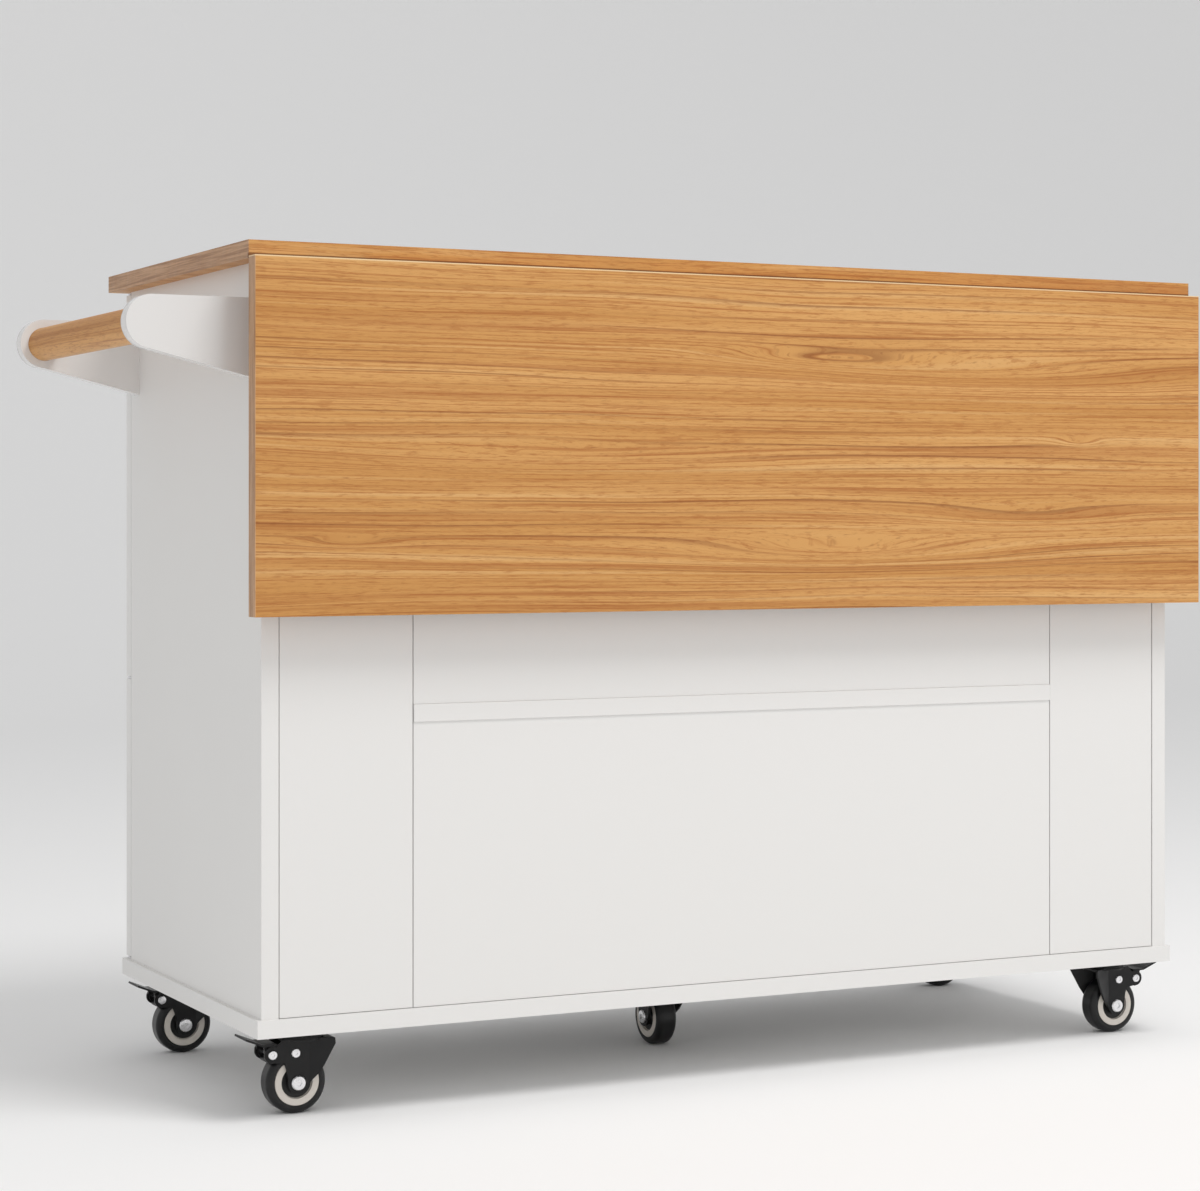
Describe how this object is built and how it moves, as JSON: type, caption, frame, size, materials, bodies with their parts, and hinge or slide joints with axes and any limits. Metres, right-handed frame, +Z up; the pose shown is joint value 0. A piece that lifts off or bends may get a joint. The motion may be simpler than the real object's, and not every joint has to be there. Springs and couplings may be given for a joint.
{
  "type": "kitchen island cart",
  "caption": "Kitchen island cart: white cabinet on swivel casters with a wooden worktop, a drop leaf hanging along the back, a towel rail, and doors and drawers.",
  "frame": {"origin": "middle of the whole box in plan, on the floor", "axes": "+X along the cart away from the towel rail, +Y from the drop leaf side towards the doors, +Z up"},
  "size_m": [1.2565, 0.511, 0.87],
  "materials": {
    "wood": "warm honey wood with fine grain along its length, satin lacquer",
    "drawer_wood": "pale lacquered board",
    "white_paint": "white painted board, semi-gloss",
    "steel": "bright zinc-plated steel",
    "black_steel": "black coated pressed steel",
    "wheel_core": "cream moulded core",
    "tyre": "black rubber with a soft sheen"
  },
  "bodies": {
    "cabinet": {"worktop": "wood", "base_board": "white_paint", "left_side_panel": "white_paint", "right_side_panel": "white_paint", "dividers": "white_paint", "centre_shelf": "white_paint", "column_shelves": "white_paint", "carcass_rails": "white_paint", "back_panel_left": "white_paint", "back_panel_right": "white_paint", "back_panel_upper": "white_paint", "back_panel_lower": "white_paint", "back_rail": "white_paint", "towel_rail_back_arm": "white_paint", "towel_rail_front_arm": "white_paint", "towel_rail_rod": "wood", "screws": "steel", "leaf_hinge_plates": "steel", "stay_catch_plates": "steel", "caster_plates": "black_steel", "drawer_runners": "steel", "door_pivot_plates": "steel"},
    "leaf": {"drop_leaf": "wood", "leaf_hardware": "steel"},
    "left_stay": {"left_leaf_stay": "steel"},
    "right_stay": {"right_leaf_stay": "steel"},
    "left_door": {"left_door": "white_paint"},
    "right_door": {"right_door": "white_paint"},
    "left_upper_column_door": {"left_upper_column_door": "white_paint"},
    "left_lower_column_door": {"left_lower_column_door": "white_paint"},
    "right_upper_column_door": {"right_upper_column_door": "white_paint"},
    "right_lower_column_door": {"right_lower_column_door": "white_paint"},
    "left_drawer": {"left_drawer_front": "white_paint", "left_drawer_box": "drawer_wood"},
    "right_drawer": {"right_drawer_front": "white_paint", "right_drawer_box": "drawer_wood"},
    "back_left_caster": {"back_left_fork": "black_steel", "back_left_axle": "steel"},
    "back_left_wheel": {"back_left_wheel_core": "wheel_core", "back_left_tyre": "tyre"},
    "back_left_brake": {"back_left_pedal": "black_steel"},
    "front_left_caster": {"front_left_fork": "black_steel", "front_left_axle": "steel"},
    "front_left_wheel": {"front_left_wheel_core": "wheel_core", "front_left_tyre": "tyre"},
    "front_left_brake": {"front_left_pedal": "black_steel"},
    "back_right_caster": {"back_right_fork": "black_steel", "back_right_axle": "steel"},
    "back_right_wheel": {"back_right_wheel_core": "wheel_core", "back_right_tyre": "tyre"},
    "back_right_brake": {"back_right_pedal": "black_steel"},
    "front_right_caster": {"front_right_fork": "black_steel", "front_right_axle": "steel"},
    "front_right_wheel": {"front_right_wheel_core": "wheel_core", "front_right_tyre": "tyre"},
    "front_right_brake": {"front_right_pedal": "black_steel"},
    "centre_caster": {"centre_fork": "black_steel", "centre_axle": "steel"},
    "centre_wheel": {"centre_wheel_core": "wheel_core", "centre_tyre": "tyre"}
  },
  "joints": [
    {"name": "leaf_hinge", "type": "hinge", "parent": "cabinet", "child": "leaf", "pos_m": [0.05675, -0.2385, 0.853], "axis": [-1, 0, 0], "range_deg": [0, 90]},
    {"name": "left_stay_pivot", "type": "hinge", "parent": "leaf", "child": "left_stay", "pos_m": [-0.33325, -0.2315, 0.728], "axis": [1, 0, 0], "range_deg": [0, 135]},
    {"name": "right_stay_pivot", "type": "hinge", "parent": "leaf", "child": "right_stay", "pos_m": [0.44675, -0.2315, 0.728], "axis": [1, 0, 0], "range_deg": [0, 135]},
    {"name": "left_door_hinge", "type": "hinge", "parent": "cabinet", "child": "left_door", "pos_m": [-0.32875, 0.2275, 0.478], "axis": [0, 0, 1], "range_deg": [0, 110]},
    {"name": "right_door_hinge", "type": "hinge", "parent": "cabinet", "child": "right_door", "pos_m": [0.44225, 0.2275, 0.478], "axis": [0, 0, -1], "range_deg": [0, 110]},
    {"name": "left_upper_column_door_hinge", "type": "hinge", "parent": "cabinet", "child": "left_upper_column_door", "pos_m": [-0.49175, 0.2275, 0.478], "axis": [0, 0, 1], "range_deg": [0, 110]},
    {"name": "right_upper_column_door_hinge", "type": "hinge", "parent": "cabinet", "child": "right_upper_column_door", "pos_m": [0.60525, 0.2275, 0.478], "axis": [0, 0, -1], "range_deg": [0, 110]},
    {"name": "left_lower_column_door_hinge", "type": "hinge", "parent": "cabinet", "child": "left_lower_column_door", "pos_m": [-0.49175, 0.2275, 0.478], "axis": [0, 0, 1], "range_deg": [0, 110]},
    {"name": "right_lower_column_door_hinge", "type": "hinge", "parent": "cabinet", "child": "right_lower_column_door", "pos_m": [0.60525, 0.2275, 0.478], "axis": [0, 0, -1], "range_deg": [0, 110]},
    {"name": "left_drawer_slide", "type": "slide", "parent": "cabinet", "child": "left_drawer", "axis": [0, 1, 0], "range_m": [0, 0.3]},
    {"name": "right_drawer_slide", "type": "slide", "parent": "cabinet", "child": "right_drawer", "axis": [0, 1, 0], "range_m": [0, 0.3]},
    {"name": "back_left_swivel", "type": "hinge", "parent": "cabinet", "child": "back_left_caster", "pos_m": [-0.43475, -0.1665, 0.086], "axis": [0, 0, 1], "continuous": true},
    {"name": "back_left_wheel_spin", "type": "hinge", "parent": "back_left_caster", "child": "back_left_wheel", "pos_m": [-0.44275, -0.1665, 0.03175], "axis": [0, -1, 0], "continuous": true},
    {"name": "back_left_brake_pedal", "type": "hinge", "parent": "back_left_caster", "child": "back_left_brake", "pos_m": [-0.47005, -0.1665, 0.06185], "axis": [0, -1, 0], "range_deg": [0, 12]},
    {"name": "front_left_swivel", "type": "hinge", "parent": "cabinet", "child": "front_left_caster", "pos_m": [-0.43475, 0.1945, 0.086], "axis": [0, 0, 1], "continuous": true},
    {"name": "front_left_wheel_spin", "type": "hinge", "parent": "front_left_caster", "child": "front_left_wheel", "pos_m": [-0.44275, 0.1945, 0.03175], "axis": [0, -1, 0], "continuous": true},
    {"name": "front_left_brake_pedal", "type": "hinge", "parent": "front_left_caster", "child": "front_left_brake", "pos_m": [-0.47005, 0.1945, 0.06185], "axis": [0, -1, 0], "range_deg": [0, 12]},
    {"name": "back_right_swivel", "type": "hinge", "parent": "cabinet", "child": "back_right_caster", "pos_m": [0.55875, -0.1665, 0.086], "axis": [0, 0, 1], "continuous": true},
    {"name": "back_right_wheel_spin", "type": "hinge", "parent": "back_right_caster", "child": "back_right_wheel", "pos_m": [0.56675, -0.1665, 0.03175], "axis": [0, 1, 0], "continuous": true},
    {"name": "back_right_brake_pedal", "type": "hinge", "parent": "back_right_caster", "child": "back_right_brake", "pos_m": [0.59405, -0.1665, 0.06185], "axis": [0, 1, 0], "range_deg": [0, 12]},
    {"name": "front_right_swivel", "type": "hinge", "parent": "cabinet", "child": "front_right_caster", "pos_m": [0.55875, 0.1945, 0.086], "axis": [0, 0, 1], "continuous": true},
    {"name": "front_right_wheel_spin", "type": "hinge", "parent": "front_right_caster", "child": "front_right_wheel", "pos_m": [0.56675, 0.1945, 0.03175], "axis": [0, 1, 0], "continuous": true},
    {"name": "front_right_brake_pedal", "type": "hinge", "parent": "front_right_caster", "child": "front_right_brake", "pos_m": [0.59405, 0.1945, 0.06185], "axis": [0, 1, 0], "range_deg": [0, 12]},
    {"name": "centre_swivel", "type": "hinge", "parent": "cabinet", "child": "centre_caster", "pos_m": [0.05675, -0.008, 0.086], "axis": [0, 0, 1], "continuous": true},
    {"name": "centre_wheel_spin", "type": "hinge", "parent": "centre_caster", "child": "centre_wheel", "pos_m": [0.05675, 0, 0.03175], "axis": [-1, 0, 0], "continuous": true}
  ],
  "couplings": [
    {"joint": "left_stay_pivot", "follows": "leaf_hinge", "ratio": 1.5},
    {"joint": "right_stay_pivot", "follows": "leaf_hinge", "ratio": 1.5}
  ]
}
